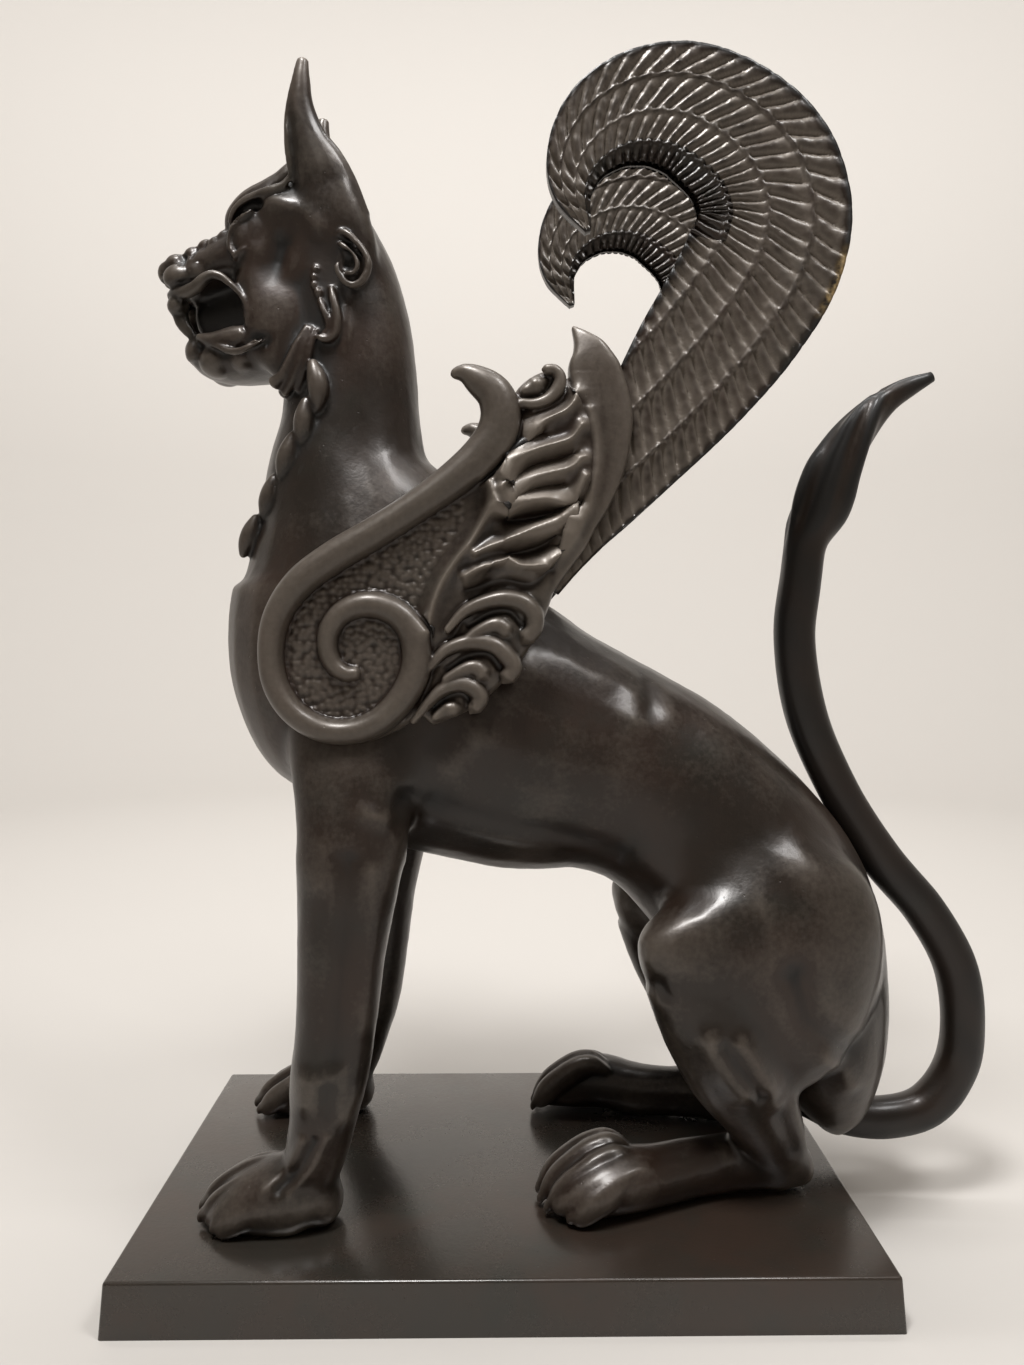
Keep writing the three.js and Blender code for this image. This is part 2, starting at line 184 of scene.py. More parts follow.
# Presses ridges and hollows into a surface. A path of x, z acts on whatever faces its side.
# A power of 2 is a soft mark and 1 is a sharp crest with hollow flanks
def press(mesh, marks, power=2.0):
    places, normals = read(mesh), read(mesh, "normal")
    shift = np.zeros(len(places))
    for path, radius, height in marks:
        flat = len(path[0]) == 2
        rows = np.array([[x, 0, z] for x, z in path] if flat else path, float)
        line = smoothRows(rows, max(4, int(np.ptp(rows, axis=0).max() / radius * 2)))
        outwards = np.zeros(len(places)) if flat else np.abs(places[:, 1])
        spots = np.column_stack([places[:, 0], outwards, places[:, 2]])
        low, high = line.min(axis=0) - 3 * radius, line.max(axis=0) + 3 * radius
        near = np.flatnonzero(((spots > low) & (spots < high)).all(axis=1))
        if not len(near):
            continue
        gap = np.full(len(near), 1e9)
        for start, end in zip(line[:-1], line[1:]):
            run = end - start
            t = np.clip(((spots[near] - start) @ run) / max(run @ run, 1e-9), 0, 1)
            gap = np.minimum(gap, np.linalg.norm(spots[near] - start - t[:, None] * run, axis=1))
        strength = height * np.exp(-((gap / radius) ** power))
        if flat:
            facing = normals[near, 1] * np.sign(places[near, 1])
            strength *= np.clip(facing * 1.7 - 0.25, 0, 1)
        shift[near] += strength
    write(mesh, places + normals * shift[:, None])


# Slow waves of a hand-worked surface, as a few crossing ripples
def ripples(places, size, seed, count=14):
    rng = np.random.default_rng(seed)
    ways = unit(rng.normal(size=(count, 3))) * rng.uniform(0.6, 1.5, (count, 1))
    waves = np.sin(places @ ways.T * (2 * math.pi / size) + rng.uniform(0, 6.28, count))
    return waves.sum(axis=1) / math.sqrt(count)


# Sums ripples given as size, seed and depth
def uneven(places, waves):
    return sum(depth * ripples(places, size, seed) for size, seed, depth in waves)


# Makes a function that gives each point the average of its neighbours' values
def neighbours(mesh):
    ends = np.empty(2 * len(mesh.edges), dtype=np.int32)
    mesh.edges.foreach_get("vertices", ends)
    a, b = ends[::2], ends[1::2]
    count = np.maximum(np.bincount(ends, minlength=len(mesh.vertices)), 1)

    def averaged(values):
        sums = np.bincount(a, values[b], len(count)) + np.bincount(b, values[a], len(count))
        return sums / count

    return averaged


def level(places, averaged, rounds, share=1.0):
    for _ in range(rounds):
        places = np.column_stack([column + share * (averaged(column) - column) for column in places.T])
    return places


def keep(mesh, name, values):
    attribute = mesh.attributes.new(name, "FLOAT", "POINT")
    attribute.data.foreach_set("value", values.astype(np.float32))


# Painted shade: the inside of the mouth is given the darkest colour, as if in shade
mouthShade = {"x": -205, "z": 638, "halfLength": 27, "halfHeight": 21, "halfWidth": 26, "fade": 4}


# How far each point stands over its surroundings, kept with the mesh for the patina. It also carries
# painted shade inside the mouth, and a painted sheen that lifts a whole piece towards the lighter colour
def markWearShadeAndSheen(mesh, reach, rounds, rubbed, bias=0.0):
    places, normals = read(mesh), read(mesh, "normal")
    averaged = neighbours(mesh)
    stands = averaged(((places - level(places, averaged, rounds)) * normals).sum(axis=1))
    stands = np.where(stands > 0, rubbed * stands, stands)
    # A painted sheen: the added term lifts the whole piece towards the lighter colour
    values = np.clip(0.5 + 0.5 * stands / reach + bias, 0, 1)
    # Painted shade: inside the mouth the value falls to 0, the darkest colour
    forwards = (places[:, 0] - mouthShade["x"]) / mouthShade["halfLength"]
    upwards = (places[:, 2] - mouthShade["z"]) / mouthShade["halfHeight"]
    inMouthShade = np.clip(4 - 4 * np.hypot(forwards, upwards), 0, 1)
    values *= 1 - inMouthShade * np.clip((mouthShade["halfWidth"] - np.abs(places[:, 1])) / mouthShade["fade"], 0, 1)
    keep(mesh, "wear", values)


# From the table's millimetres to the frame's metres
def seated(piece):
    piece.data.transform(Matrix.Translation((0, 0, casting["seat"] / 1000)) @ Matrix.Scale(0.001, 4))
    piece.data.shade_smooth()
    return piece


body = {
    "trunk": [
        (-128, 0, 352, 62, 58), (-95, 0, 352, 98, 80), (-42, 0, 343, 107, 82), (22, 0, 320, 98, 78),
        (80, 0, 303, 82, 74), (125, 0, 281, 78, 72), (168, 0, 241, 80, 76), (208, 0, 188, 79, 78),
        (235, 0, 128, 60, 70), (248, 0, 72, 42, 58), (254, 0, 40, 25, 38), (256, 0, 20, 8, 14),
    ],
    "neck": [
        (-112, 0, 290, 44, 46), (-113, 0, 318, 73, 70), (-110, 0, 358, 94, 82), (-105, 0, 400, 102, 84),
        (-100, 0, 442, 100, 80), (-107, 0, 484, 83, 68), (-115, 0, 524, 63, 55), (-114, 0, 562, 52, 47),
        (-115, 0, 602, 50, 44), (-120, 0, 642, 48, 43), (-130, 0, 682, 43, 42), (-136, 0, 716, 30, 36),
        (-139, 0, 738, 14, 22),
    ],
    "skull": [
        (-118, 0, 668, 34, 35), (-142, 0, 680, 56, 44), (-166, 0, 690, 52, 43), (-187, 0, 699, 34, 32),
        (-200, 0, 703, 18, 20),
    ],
    "muzzle": [
        (-180, 0, 684, 21, 33), (-205, 0, 676, 17, 30), (-228, 0, 667, 15, 25), (-244, 0, 663, 12, 18),
    ],
    "jaw": [
        (-148, 0, 616, 24, 34), (-176, 0, 607, 15, 31), (-200, 0, 604, 13, 27), (-220, 0, 607, 12, 20),
        (-229, 0, 611, 8, 12),
    ],
    "palate": [(-168, 0, 642, 22, 15), (-205, 0, 640, 22, 9), (-226, 0, 636, 17, 8)],
}
bodyBesideMiddle = {
    "cheek": [
        (-150, 25, 590, 13, 12), (-158, 28, 612, 24, 12.5), (-165, 29, 640, 24, 12.5),
        (-170, 28, 666, 20, 12),
    ],
    "mouthCorner": [
        (-190, 27, 658, 7, 7), (-179, 28, 649, 8, 8.5), (-173, 29, 635, 8, 9), (-176, 29, 621, 8, 9),
        (-185, 27, 611, 7, 8),
    ],
    "hornRoot": [
        (-112, 22, 652, 24, 12), (-115, 27, 670, 26, 15), (-118, 30, 686, 27, 15), (-124, 34, 712, 23, 14),
        (-128, 36, 734, 17, 10),
    ],
    "upperArm": [
        (-112, 58, 372, 30, 20), (-110, 62, 346, 40, 23), (-107, 71, 316, 43, 28), (-104, 77, 281, 41, 31),
        (-106, 82, 238, 36, 28), (-110, 84, 197, 31.5, 26), (-115, 86, 134, 27.5, 24.5),
        (-120, 87, 97, 26.5, 25.5), (-124, 87, 70, 23, 24), (-129, 87, 46, 21, 23),
        (-134, 87, 22, 16, 21),
    ],
    "elbow": [(-84, 76, 288, 12, 14), (-76, 78, 268, 14, 16), (-78, 79, 246, 11, 13)],
    "frontPaw": [
        (-116, 87, 6, 10, 16), (-130, 87, 17, 22, 25), (-150, 87, 19, 27, 28), (-168, 87, 17, 23, 28.5),
        (-184, 87, 13, 17, 27), (-196, 87, 8, 10, 22), (-202, 87, 6, 5, 15),
    ],
}
bodyBehind = {
    "thigh": [
        (258, 46, 148, 40, 18), (234, 60, 156, 82, 32), (198, 66, 168, 88, 36), (160, 71, 176, 69, 35),
        (127, 76, 184, 45, 31), (106, 80, 190, 28, 24), (96, 82, 192, 16, 16), (91, 82, 192, 5, 5),
    ],
    "shank": [
        (128, 78, 172, 34, 26), (145, 78, 137, 38, 29), (163, 75, 100, 36, 27), (182, 66, 66, 29, 22),
        (194, 56, 40, 24, 19), (203, 48, 18, 19, 17),
    ],
    "hindFoot": [
        (222, 45, 8, 9, 12), (210, 46, 16, 19, 16), (180, 49, 20, 21, 17), (138, 57, 20, 20.5, 18),
        (108, 66, 19, 21, 21), (82, 76, 21.5, 22, 24), (60, 79, 18, 19, 25), (44, 79, 13, 13, 22.5),
        (34, 79, 8, 8, 17),
    ],
}
# How far back the far foreleg stands, and how far out the far hind foot
farSide = {"foreleg": 6, "hindFoot": 12, "shares": {"thigh": 0.4, "shank": 0.8, "hindFoot": 1}}
skin = {
    "coarseSoftening": 9,
    "fineSoftening": 3,
    # creases between the thigh, the flank and the chest that melt into one skin: x, z, reach
    "joins": [(170, 262, 62), (225, 215, 55), (110, 232, 34), (-62, 300, 34), (-112, 296, 34)],
    "joinRounds": 60,
    "waves": [(52, 3, 0.22), (13, 5, 0.07)],
    "wear": {"reach": 1.5, "rounds": 14, "rubbed": 0.4},
}

face = {
    "forehead": [
        (-197, 9, 700, 8, 12), (-195, 10, 707, 9.5, 14), (-188, 11, 714, 10.5, 16),
        (-179, 12, 717.5, 12, 18), (-168, 13, 722.5, 12, 19), (-159, 15, 729, 11, 18),
        (-152, 18, 737, 8.5, 15), (-147, 20, 744, 5, 11),
    ],
    "browRidge": [
        (-197, 24, 700, 2.6), (-192, 28, 706.5, 4), (-184, 31, 711.5, 4.6), (-175, 33, 715, 4.4),
        (-165, 36, 718, 3.6), (-156, 38, 721, 2.8), (-151, 39, 727, 1.6),
    ],
    "lidRim": [
        (-191.5, 34, 672, 1.4), (-195, 32, 679, 1.9), (-196, 31, 685, 2), (-194.5, 32, 692, 2),
        (-190.5, 34, 697.3, 2), (-184, 36, 701.5, 1.8), (-178, 37, 704.5, 1.4),
    ],
    "lidLow": [(-193, 31, 671, 1.4), (-189, 34, 675.5, 1.8), (-183, 36, 678, 1.6)],
    "lipRoll": [
        (-244, 12, 652, 4.5), (-236, 20, 651, 5), (-228, 26, 650.5, 5), (-220.5, 29, 653, 4.6),
        (-214.8, 31, 657.6, 4), (-208.4, 32, 660.3, 3.4), (-202.5, 33, 659, 2.8), (-196, 34, 654.3, 2.4),
        (-189.2, 35, 647.8, 2.2), (-184, 36, 640.2, 2.2), (-181.6, 36, 631.6, 2.2), (-183, 35, 624, 2.2),
    ],
    "lowerRim": [
        (-227, 12, 620, 2.8), (-219, 21, 619.6, 2.8), (-212.6, 27, 614.4, 2.6), (-204.5, 31, 610, 2.6),
        (-197.4, 34, 606.2, 2.6), (-190.2, 36, 605.2, 2.6), (-183, 38, 607, 2.4), (-176.6, 40, 610.4, 2.2),
        (-170, 41, 612.4, 1.6),
    ],
    "tongue": [
        (-221, 17, 619, 3.5, 7), (-211, 22, 616, 6.5, 9), (-201, 25, 615.5, 9, 9),
        (-192, 27, 616.5, 9.5, 9), (-185, 29, 619, 7, 8),
    ],
    "fang": [(-238, 13, 640, 6, 5), (-235.5, 14, 632, 5.4, 5), (-231, 14, 625.5, 4.4), (-227, 14, 621, 3)],
    "horn": [
        (-121, 32, 698, 27, 13), (-126, 35, 721, 23, 12.5), (-130.5, 37, 735, 19.5, 11.5),
        (-138.5, 39, 755, 13.5, 9.5), (-142.5, 41, 775, 9.5, 7.5), (-142, 42, 792.5, 6.8, 5.8),
        (-140.7, 42, 806, 4.4, 3.6),
    ],
    "hornRidge": [
        (-150, 38, 723, 1.0), (-150.5, 41.5, 735, 2.4), (-151.5, 43, 750, 2.6), (-151.3, 43, 768, 2.4),
        (-148.5, 43, 785, 2.2), (-144.5, 43, 800, 1.8),
    ],
    "earRim": [
        (-117, 43, 684, 2), (-113, 45.5, 685.4, 2.6), (-109, 47, 683.6, 2.8), (-103.6, 48, 678, 2.8),
        (-98, 48, 671, 2.8), (-94.8, 48, 662.6, 2.8), (-97.6, 48, 653.5, 2.8), (-104.5, 48, 648, 2.6),
        (-110.4, 48, 649.6, 2.4), (-115, 48, 655, 2.3), (-116.6, 48, 661, 2.2), (-114.5, 48, 664, 2),
    ],
    "earInner": [
        (-115, 46, 678, 1.6), (-112.5, 47, 675.6, 2), (-108.4, 48, 671.8, 2.1), (-104, 48, 666.8, 2.1),
        (-102.4, 48, 662, 2), (-104, 48, 657.6, 1.9), (-107.2, 48, 656, 1.8), (-110.4, 48, 657.4, 1.6),
    ],
    "lock": [
        (-121.6, 43, 648, 2), (-119.8, 45, 639.7, 3), (-118, 46, 631.5, 3.4), (-117.2, 46, 623, 3.4),
        (-119.2, 46, 615, 3.1), (-123.5, 46, 611, 2.7), (-128.3, 46, 611.4, 2.4), (-131, 46, 613.4, 2.2),
    ],
    "lockInner": [
        (-130, 43, 640, 1.8), (-127, 44.5, 632.2, 2.4), (-124, 45, 625.2, 2.6), (-123.2, 45, 619.5, 2.3),
        (-125.2, 45, 616, 2), (-127.6, 45, 616.2, 1.6),
    ],
    "lockTip": [(-112, 38, 636, 6, 5), (-111, 38, 618, 7, 7), (-115, 37, 600, 9, 7), (-122, 36, 588, 6, 5)],
    "beardBed": [
        (-135, 33, 618, 6, 7), (-142, 31, 606, 8, 9), (-148, 29, 594, 9, 9), (-154, 26, 584, 9, 9),
        (-159, 23, 577, 5, 7),
    ],
    "strandLow": [
        (-139, 41, 622, 1.8), (-146, 41.5, 609, 3.2), (-151.5, 40.5, 597, 3.8), (-158, 38.5, 586.5, 4.2),
        (-164.5, 36, 582, 5),
    ],
    "strandMiddle": [
        (-136, 41.5, 621, 1.6), (-140.5, 42, 608, 2.8), (-145, 41, 596, 3.4), (-150.5, 38.5, 585, 3.6),
        (-157, 34, 575.5, 3.4),
    ],
    "strandBack": [
        (-132, 42, 619, 1.6), (-136, 42, 608, 2.6), (-139.5, 41, 597, 3), (-143.5, 38.5, 587, 3),
        (-148, 35, 578, 2.6),
    ],
}
# Eye, folds of the nose, lips, chin, ear and the row of small beads behind the cheek: middle, radii
faceBalls = [
    ((-182, 28, 687), (13.5, 8.5, 16)),
    ((-202, 13, 690), (8, 11, 9)), ((-209, 14, 685.5), (7.5, 10, 8)), ((-217, 11, 685.5), (8, 9, 7.5)),
    ((-227, 10, 680.5), (8.5, 9, 7.5)), ((-240, 8, 675.5), (9.5, 9.5, 8)),
    ((-247.5, 6, 670), (8, 8.5, 9)), ((-235.5, 17, 662.5), (13, 11, 10.5)),
    ((-221, 20, 666), (11, 7.5, 8)), ((-238.5, 14, 643.5), (8, 10, 8)),
    ((-226.5, 8, 611.5), (9, 12, 11)), ((-210, 12, 604.5), (14.5, 15, 12.5)),
    ((-190, 17, 603), (12, 14, 8.5)), ((-107, 37, 665), (12.5, 8.5, 19)), ((-123, 36, 622), (10, 8, 20)),
    ((-133, 42.5, 661), (2.7, 2.4, 2.7)), ((-134, 42.5, 655.5), (2.7, 2.4, 2.7)),
    ((-133.8, 42.5, 650), (2.7, 2.4, 2.7)), ((-131, 43, 644.5), (3, 2.6, 3)),
]
throat = {
    # head, middle and foot of each bead
    "chain": [
        [(-135, 46, 596), (-130.9, 47, 577.5), (-131.5, 45.5, 560)],
        [(-139.5, 45, 570), (-141.4, 44, 553.5), (-143, 42.5, 536)],
        [(-148.5, 42, 546), (-154.5, 40.5, 529), (-159.5, 38, 513)],
        [(-165, 33, 517), (-169, 31, 502.5), (-175, 28, 487)],
        [(-179.5, 25, 490), (-185, 23, 475.5), (-192, 20, 460)],
    ],
    "girths": (0.42, 0.74, 0.96, 1.02, 0.94, 0.68, 0.3),
    "halfDepth": 7.4,
    "halfWidth": 7.6,
}
frontToes = {
    "tips": [(-203, 41), (-208, 43), (-205, 41), (-193, 35)],
    "pitch": 14.2,
    "middle": 87,
    "heel": 87,
}
hindToes = {
    "tips": [(26, 50), (27, 51), (31, 47), (46, 39)],
    "pitch": 13.2,
    "middle": 79,
    "heel": 68,
}

# Ridges are positive and hollows negative: path, radius, height
bodyMarks = [
    ([(112, 236), (140, 237), (173, 238), (206, 250)], 17, 3),
    ([(132, 218), (160, 222), (186, 230)], 13, -1.8),
    ([(102, 192), (119, 205), (138, 213), (170, 221)], 12, 2.6),
    ([(92, 178), (99, 152)], 8, 2),
    ([(104, 168), (110, 158)], 4, -1.5),
    ([(196, 170), (209, 140), (225, 126), (238, 114)], 11, -4.5),
    ([(222, 112), (240, 98), (248, 82)], 8, 3),
    ([(138, 130), (150, 110), (162, 94)], 9, 4.5),
    ([(158, 128), (172, 106), (186, 82)], 7, 4),
    ([(148, 126), (161, 106), (174, 90)], 5, -2),
    ([(186, 84), (195, 62), (205, 38)], 8, -2.4),
    ([(203, 76), (214, 50), (221, 26)], 6, 1.6),
    ([(150, 45), (158, 30)], 6, 2),
    ([(22, 383), (43, 381), (66, 372)], 15, 2),
    ([(84, 378), (92, 364), (91, 345)], 12, 1.8),
    ([(114, 368), (118, 356), (116, 342)], 11, 1.4),
    ([(103, 372), (105, 352)], 7, -1.2),
    ([(-50, 286), (5, 271), (54, 260), (84, 246)], 8, -1.6),
    ([(-66, 290), (-70, 276)], 8, -4),
    ([(-36, 312), (-19, 330)], 14, 2.5),
    ([(-102, 252), (-107, 182), (-112, 122)], 8, -2.2),
    ([(-88, 245), (-88, 202), (-93, 140)], 6, 1.4),
    ([(-120, 262), (-122, 236)], 7, 1.4),
    ([(-131, 106), (-131, 92)], 8, 2.4),
    ([(-98, 92), (-105, 80)], 7, 2.4),
    ([(-116, 100), (-118, 84)], 5, -1.4),
    ([(-92, 284), (-74, 276)], 7, 2.5),
    ([(-134, 66), (-145, 45), (-160, 33)], 3.5, 1.8),
    ([(-118, 68), (-128, 47), (-142, 32)], 3.5, 1.8),
    ([(-126, 66), (-137, 46), (-150, 34)], 3.2, -1.8),
]
faceMarks = [
    ([(-192, 698.5), (-188.5, 703.5), (-183, 707), (-174, 709.5)], 2.2, -6.5),
    ([(-157, 684), (-162, 662)], 17, -4.5),
    ([(-159, 679), (-162, 669)], 9.5, -6),
    ([(-163, 711), (-151, 706), (-141, 700), (-132, 690)], 7, 2.5),
    ([(-176, 704), (-172, 694), (-176, 684)], 5, -1.5),
    ([(-178, 614), (-170, 612)], 4.5, -4),
    # with y outwards as well, a mark acts on whatever is near it
    ([(-213, 14, 689), (-217, 22, 680)], 2.2, -2),
    ([(-222, 12, 686), (-225, 22, 676)], 2.2, -2.2),
    ([(-232, 12, 680), (-233, 24, 672)], 2.4, -2.4),
    ([(-250, 9, 662), (-246, 14, 660)], 3, -4),
    ([(-246, 16, 656.5), (-236, 24, 656), (-226, 28, 657.5)], 2.2, -2.4),
    ([(-218, 6, 614), (-218, 20, 604)], 2.4, -2.4),
    ([(-197, 10, 596), (-196, 24, 602)], 2.4, -2.2),
    ([(-231, 8, 603), (-227, 16, 601)], 2.4, -1.5),
    ([(-110.5, 47, 667), (-111, 47, 664)], 4, -5.5),
    ([(-115.5, 46, 681.5), (-110, 47, 679), (-103, 48, 672.5), (-98.6, 48, 662.5), (-102.5, 48, 653)],
     1.6, -1.6),
]

# Behind the tip, crest as a share of the knuckle's height, half depth, half width
toeProfile = [
    (68, 0.66, 4, 4), (58, 0.86, 6, 6), (48, 0.99, 8.5, 7.2), (36, 0.95, 10, 7.8), (24, 0.80, 10.5, 7.8),
    (13, 0.62, 10, 7.4), (6, 0.42, 8, 6.4), (2, 0.29, 5.5, 4.6),
]
# Behind the tip, height, half depth, half width
clawProfile = [(7, 13, 4, 3.4), (2, 10.5, 4, 3.4), (-1, 6.5, 3.2, 3), (-1.2, 3, 1.6, 1.8)]


# Four toes with their claws, which draw together towards the heel
def toes(bm, side, spec, out=0.0):
    count = len(spec["tips"])
    middle = spec["middle"]
    for i, (tip, knuckle) in enumerate(spec["tips"]):
        offset = (i - (count - 1) / 2) * spec["pitch"]
        toe = []
        for behind, crest, half, width in toeProfile:
            back = np.clip((behind - 20) / 48, 0, 1)
            y = middle + back * (spec["heel"] - middle) + (1 - 0.55 * back) * offset
            toe.append((tip + behind, y, crest * knuckle - half, half, width))
        claw = [(tip + behind, middle + offset, *rest) for behind, *rest in clawProfile]
        loft(bm, onSide(side, toe, out=out), 14, 2.3, 0.5, 3)
        loft(bm, onSide(side, claw, out=out), 10, 2.0, 0.4, 2)


def throatBeads(bm, side):
    depth, width = throat["halfDepth"], throat["halfWidth"]
    for rows in throat["chain"]:
        line = smoothRows(rows, len(throat["girths"]))
        bead = [(*spot, depth * girth, width * girth) for spot, girth in zip(line, throat["girths"])]
        loft(bm, onSide(side, bead), 16, 2.0, 0.5, 2.2)


# Moves a foreleg back, least at its shoulder and at its foot
def setBack(rows, back):
    return [(x + back * min(max((300 - z) / 60, 0), 1) * min(z / 90, 1), y, z, *rest)
            for x, y, z, *rest in rows]


def melt(mesh):
    places = read(mesh)
    share = np.zeros(len(places))
    for x, z, reach in skin["joins"]:
        gap = np.hypot(places[:, 0] - x, places[:, 2] - z)
        share = np.maximum(share, np.clip(1.6 - gap / reach, 0, 1))
    write(mesh, level(places, neighbours(mesh), skin["joinRounds"], share))


def makeBody():
    form = bmesh.new()
    for name, rows in body.items():
        loft(form, rows, 24, 2.3 if name in ("skull", "muzzle") else 2.0, 0.3)
    for side in sides:
        back = farSide["foreleg"] if side > 0 else 0
        out = farSide["hindFoot"] if side > 0 else 0
        for name, rows in bodyBesideMiddle.items():
            if name in ("upperArm", "elbow"):
                rows = setBack(rows, back)
            loft(form, onSide(side, rows), 20, 2.1, 0.4)
        for name, rows in bodyBehind.items():
            loft(form, onSide(side, rows, out * farSide["shares"][name]), 20, 2.1, 0.4)
    piece = newPiece("griffinBody", form)
    settle(piece, [voxels(casting["coarseVoxel"]), softened(skin["coarseSoftening"])])
    melt(piece.data)
    settle(piece, [("SUBSURF", {"levels": 1, "render_levels": 1})])
    report("body form")
    detail = bmesh.new()
    for side in sides:
        for name, rows in face.items():
            loft(detail, onSide(side, rows), 14, 1.75 if name == "horn" else 2.0, 0.5, 2.2)
        for centre, radii in faceBalls:
            ball(detail, (centre[0], side * centre[1], centre[2]), radii)
        throatBeads(detail, side)
        toes(detail, side, frontToes)
        toes(detail, side, hindToes, farSide["hindFoot"] if side > 0 else 0)
    detail.from_mesh(piece.data)
    bpy.data.objects.remove(piece)
    piece = newPiece("griffinBody", detail)
    settle(piece, [voxels(casting["fineVoxel"]), softened(skin["fineSoftening"])])
    press(piece.data, bodyMarks)
    press(piece.data, faceMarks)
    places = read(piece.data)
    places += read(piece.data, "normal") * uneven(places, skin["waves"])[:, None]
    places[:, 2] = np.maximum(places[:, 2], 0.1)  # flat soles
    write(piece.data, places)
    thinned(piece)
    markWearShadeAndSheen(piece.data, **skin["wear"])
    report("body")
    return seated(piece)


tail = {
    "line": [
        (236, 0, 46, 15.5), (262, 0, 33, 15.5), (295, 0, 29, 15.5), (327, 0, 37, 15.5), (350, 0, 66, 16),
        (355.6, 0, 104, 16), (349, 0, 148, 16), (324, 0, 192, 15.5), (290, 0, 232, 15.5), (257, 0, 284, 15),
        (232, 0, 340, 15.5), (222, 0, 400, 15.5), (227, 0, 452, 15.5), (230, 0, 474, 16, 15.5),
        (240, 0, 500, 21, 18), (252, 0, 530, 19, 17), (268, 0, 557, 14.5, 13), (287, 0, 578, 9.5, 9),
        (306, 0, 590, 7, 7), (324, 0, 598, 4, 4),
    ],
    "around": 48,
    "step": 2.4,
    "tuft": (470, 600),  # from this height to that
    "flutes": 5,
    "fluteDepth": 1.5,
    "waves": [(40, 8, 0.25)],
    "wear": {"reach": 0.9, "rounds": 6, "rubbed": 0.4},
}


def makeTail():
    bm = bmesh.new()
    loft(bm, tail["line"], tail["around"], 2.15, 0.5, tail["step"])
    piece = newPiece("griffinTail", bm)
    places, normals = read(piece.data), read(piece.data, "normal")
    height = places[:, 2]
    start, end = tail["tuft"]
    tuft = np.clip((height - start) / 18, 0, 1) * np.clip((end - height) / 30, 0, 1)
    # the tuft leans back as it rises, and its flutes wind round it
    swirl = np.arctan2(places[:, 1], places[:, 0] - 0.55 * height + 40) * tail["flutes"] + height / 16
    flutes = tuft * tail["fluteDepth"] * np.sin(swirl)
    places += normals * (flutes + uneven(places, tail["waves"]))[:, None]
    write(piece.data, places)
    markWearShadeAndSheen(piece.data, **tail["wear"])
    report("tail")
    return seated(piece)


wing = {
    "line": [
        (57, 674, 2), (47, 700, 14), (50, 721, 22), (66, 742, 31), (91, 754, 38), (121, 754, 44),
        (150, 740, 48), (172, 718, 51), (182, 689, 52), (176, 657, 53), (156, 620, 51), (131, 584, 47),
        (107, 550, 40), (85, 518, 31), (63, 487, 22), (44, 456, 13), (33, 432, 5),
    ],
    "plane": 76,
    "halfThickness": 7.5,
    "relief": 2.9,
    "bands": [0, 26, 57, 85, 106],  # from the outer edge inwards
    "pitch": 9.6,
    # along the wing from its tip: how far a barb's outer end runs ahead
    "slant": [(0, 30), (0.14, 30), (0.26, 24), (0.4, 12), (0.5, 9), (0.62, 16), (0.78, 25), (1, 27)],
    "grid": (60, 720),
    "samples": 1600,
    "scatter": (12.9898, 78.233, 43758.5453),  # stirs a barb's number into a chance
    "rimRounding": 1.2,
    "waves": [(17, 11, 0.22), (6, 12, 0.16)],
    # Lifts the whole wing towards the lighter colour: a painted sheen of light from above, besides real
    # rubbing of high spots
    "wear": {"reach": 1.6, "rounds": 12, "rubbed": 0.7, "bias": 0.36},
    "brassy": 640,  # height of the rubbed patch on the outer edge
}


# A flat box of grids, to be bent into the wing
def wingBlank():
    across, along = wing["grid"]
    bm = bmesh.new()
    bmesh.ops.create_grid(bm, x_segments=across, y_segments=along, size=0.5)
    copied = bmesh.ops.extrude_face_region(bm, geom=bm.faces[:], use_keep_orig=True)["geom"]
    verts = [part for part in copied if isinstance(part, bmesh.types.BMVert)]
    bmesh.ops.translate(bm, verts=verts, vec=(0, 0, 1))
    walls = [edge for edge in bm.edges if abs(edge.verts[0].co.z - edge.verts[1].co.z) > 0.5]
    bmesh.ops.subdivide_edges(bm, edges=walls, cuts=2, use_grid_fill=True)
    return bm


# Heights of rounded barbs, with deep pockets beside the inner quill that thin out outwards.
# The rise is 0 at that quill and 1 at the band's outer side
def barbs(run, rise, band):
    barb = np.floor(run)
    first, second, third = wing["scatter"]
    chance = np.modf(np.abs(np.sin(barb * first + band * second) * third))[0]
    phase = run - barb
    wide = 0.24 + 0.22 * np.clip((0.75 - rise) / 0.65, 0, 1)
    gap = np.abs(phase - 0.5) * 2
    valley = np.clip((gap - (1 - wide)) / wide, 0, 1) ** 1.2
    deep = np.clip((1.05 - rise) / 0.5, 0.35, 1)
    line = np.exp(-(((phase - 0.66) / 0.08) ** 2)) * np.clip(4 * rise * (1 - rise), 0, 1)
    return 0.80 - deep * (0.48 * gap**2.2 + 0.42 * valley) - 0.05 * line + 0.08 * (chance - 0.5)


def weld(mesh):
    bm = bmesh.new()
    bm.from_mesh(mesh)
    bmesh.ops.remove_doubles(bm, verts=bm.verts, dist=0.02)
    bmesh.ops.recalc_face_normals(bm, faces=bm.faces)
    bm.to_mesh(mesh)
    bm.free()


# A brassy patch where hands have rubbed the near wing's outer edge
def markBrassy(mesh, spine, tangent, side):
    places = read(mesh)
    outwards = unit(np.column_stack([-tangent[:, 2], tangent[:, 0]]))
    outerEdge = np.column_stack([spine[:, 0], spine[:, 2]]) + spine[:, 3:4] * outwards
    gap = np.full(len(places), 1e9)
    for x, z in outerEdge[::8]:
        gap = np.minimum(gap, np.hypot(places[:, 0] - x, places[:, 2] - z))
    patch = np.clip(1.6 - np.abs(places[:, 2] - wing["brassy"]) / 16, 0, 1)
    keep(mesh, "brassy", np.clip(1.6 - gap / 4, 0, 1) * patch * (side < 0))


